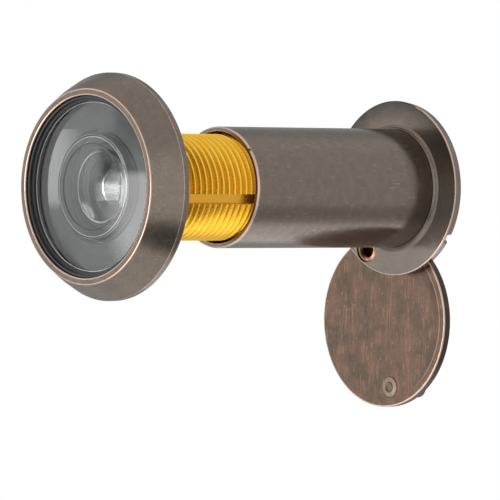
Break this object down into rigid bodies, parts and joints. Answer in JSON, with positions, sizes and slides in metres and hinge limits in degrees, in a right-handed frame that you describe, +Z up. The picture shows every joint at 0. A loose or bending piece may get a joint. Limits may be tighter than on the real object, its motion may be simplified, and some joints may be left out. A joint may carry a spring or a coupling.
{
  "type": "door viewer",
  "caption": "Wide-angle door viewer with a swing privacy cover; its threaded halves clamp a door from both sides.",
  "frame": {"origin": "on the barrel's axis, where the front bezel meets the door's outside face", "axes": "+Y along the barrel from the outside of the door to the room, +Z up"},
  "size_m": [0.0303, 0.0624, 0.0438],
  "materials": {
    "bronze": "oil-rubbed bronze, satin, worn to copper on its edges",
    "cover_bronze": "oil-rubbed bronze, brushed, with copper wear",
    "copper": "bare copper colour, satin",
    "gold": "bright gold-coloured brass",
    "lens_glass": "clear and polished",
    "black_plastic": "matt black",
    "black_rubber": "matt black",
    "spring_steel": "darkened steel"
  },
  "bodies": {
    "outside_half": {"front_bezel": "bronze", "lens_seal_ring": "black_plastic", "objective_gasket": "black_rubber", "objective_lens": "lens_glass", "second_lens_ring": "black_plastic", "second_lens": "lens_glass", "front_spacer": "black_plastic", "third_lens": "lens_glass", "threaded_barrel": "gold", "field_stop": "black_plastic"},
    "eyepiece": {"eyepiece_lens": "lens_glass", "eyepiece_ring": "black_plastic"},
    "inside_half": {"sleeve_tube": "bronze", "rear_flange": "bronze", "pivot_rivet": "copper", "pivot_washer": "spring_steel", "spring_washer": "spring_steel"},
    "cover": {"cover_disc": "cover_bronze", "cover_knob": "cover_bronze"}
  },
  "joints": [
    {"name": "door_thickness", "type": "slide", "parent": "outside_half", "child": "eyepiece", "axis": [0, 1, 0], "range_m": [-0.015, 0.005]},
    {"name": "sleeve_turn", "type": "hinge", "parent": "eyepiece", "child": "inside_half", "pos_m": [0, 0.05, 0], "axis": [0, 1, 0], "range_deg": [-5400, 1800]},
    {"name": "cover_swing", "type": "hinge", "parent": "inside_half", "child": "cover", "pos_m": [-0.00533, 0.0526, -0.00805], "axis": [0, 1, 0], "range_deg": [-139, 221]}
  ],
  "couplings": [
    {"joint": "sleeve_turn", "follows": "door_thickness", "rad_per_m": 6283.2}
  ]
}
